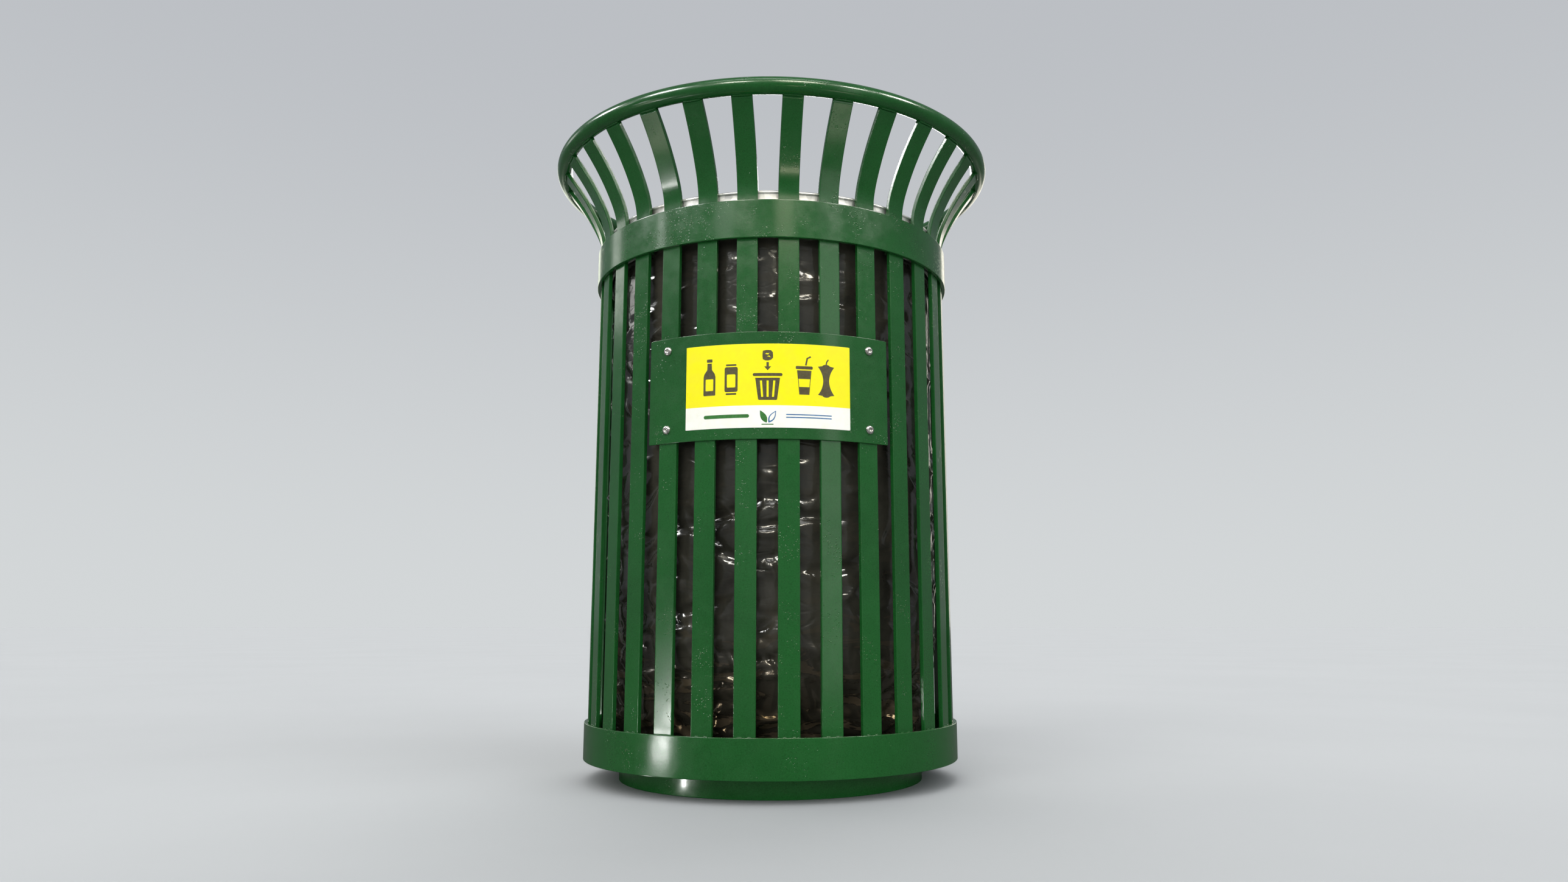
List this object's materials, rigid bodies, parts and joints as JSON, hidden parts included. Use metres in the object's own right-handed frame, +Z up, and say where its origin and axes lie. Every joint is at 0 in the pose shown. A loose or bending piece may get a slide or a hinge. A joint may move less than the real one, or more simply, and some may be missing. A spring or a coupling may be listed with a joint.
{
  "type": "litter bin",
  "caption": "Open-topped outdoor litter bin of upright steel slats flared out to a round tube rim, with a recessed base, a front sign plate and a refuse bag held in a lift-out ring.",
  "frame": {"origin": "on the bin's axis, at the underside of the base ring", "axes": "+Z up along the bin's axis, -Y towards the front (the sign), +X to the right seen from the front"},
  "size_m": [0.732, 0.732, 1.0007],
  "materials": {
    "frame_paint": "semi-gloss green powder coat with fine orange peel and small chips",
    "sign_plate_paint": "semi-gloss green powder coat",
    "label_vinyl": "satin printed vinyl, yellow over a white strip",
    "stainless_fastener": "bright, lightly stained",
    "zinc_nut": "bright zinc plate",
    "foot_nylon": "moulded black nylon pad on a zinc-plated stud",
    "galvanised_ring": "weathered galvanised sheet, mottled and stained",
    "galvanised_hoop": "weathered galvanised flat bar",
    "bag_film": "glossy, slightly translucent brown-black film"
  },
  "bodies": {
    "frame": {"top_ring": "frame_paint", "upper_band": "frame_paint", "lower_band": "frame_paint", "base_ring": "frame_paint", "floor_plate": "frame_paint", "slat_01": "frame_paint", "slat_02": "frame_paint", "slat_03": "frame_paint", "slat_04": "frame_paint", "slat_05": "frame_paint", "slat_06": "frame_paint", "slat_07": "frame_paint", "slat_08": "frame_paint", "slat_09": "frame_paint", "slat_10": "frame_paint", "slat_11": "frame_paint", "slat_12": "frame_paint", "slat_13": "frame_paint", "slat_14": "frame_paint", "slat_15": "frame_paint", "slat_16": "frame_paint", "slat_17": "frame_paint", "slat_18": "frame_paint", "slat_19": "frame_paint", "slat_20": "frame_paint", "slat_21": "frame_paint", "slat_22": "frame_paint", "slat_23": "frame_paint", "slat_24": "frame_paint", "slat_25": "frame_paint", "slat_26": "frame_paint", "slat_27": "frame_paint", "slat_28": "frame_paint", "slat_29": "frame_paint", "slat_30": "frame_paint", "ring_bracket_1": "frame_paint", "ring_bracket_2": "frame_paint", "ring_bracket_3": "frame_paint", "ring_bracket_4": "frame_paint", "sign_plate": "sign_plate_paint", "sign_label": "label_vinyl", "sign_screw_1": "stainless_fastener", "sign_screw_2": "stainless_fastener", "sign_screw_3": "stainless_fastener", "sign_screw_4": "stainless_fastener", "sign_nut_1": "stainless_fastener", "sign_nut_2": "stainless_fastener", "sign_nut_3": "stainless_fastener", "sign_nut_4": "stainless_fastener", "foot_nut_1": "zinc_nut", "foot_nut_2": "zinc_nut", "foot_nut_3": "zinc_nut", "foot_nut_4": "zinc_nut"},
    "ring": {"bag_ring": "galvanised_ring"},
    "bag_set": {"clamp_hoop": "galvanised_hoop", "bag": "bag_film"},
    "foot_1": {"levelling_foot_1": "foot_nylon"},
    "foot_2": {"levelling_foot_2": "foot_nylon"},
    "foot_3": {"levelling_foot_3": "foot_nylon"},
    "foot_4": {"levelling_foot_4": "foot_nylon"}
  },
  "joints": [
    {"name": "ring_lift", "type": "slide", "parent": "frame", "child": "ring", "axis": [0, 0, 1], "range_m": [0, 0.215]},
    {"name": "bag_lift", "type": "slide", "parent": "frame", "child": "bag_set", "axis": [0, 0, 1], "range_m": [0, 0.96]},
    {"name": "foot_1_adjust", "type": "slide", "parent": "frame", "child": "foot_1", "axis": [0, 0, -1], "range_m": [0, 0.012]},
    {"name": "foot_2_adjust", "type": "slide", "parent": "frame", "child": "foot_2", "axis": [0, 0, -1], "range_m": [0, 0.012]},
    {"name": "foot_3_adjust", "type": "slide", "parent": "frame", "child": "foot_3", "axis": [0, 0, -1], "range_m": [0, 0.012]},
    {"name": "foot_4_adjust", "type": "slide", "parent": "frame", "child": "foot_4", "axis": [0, 0, -1], "range_m": [0, 0.012]}
  ]
}
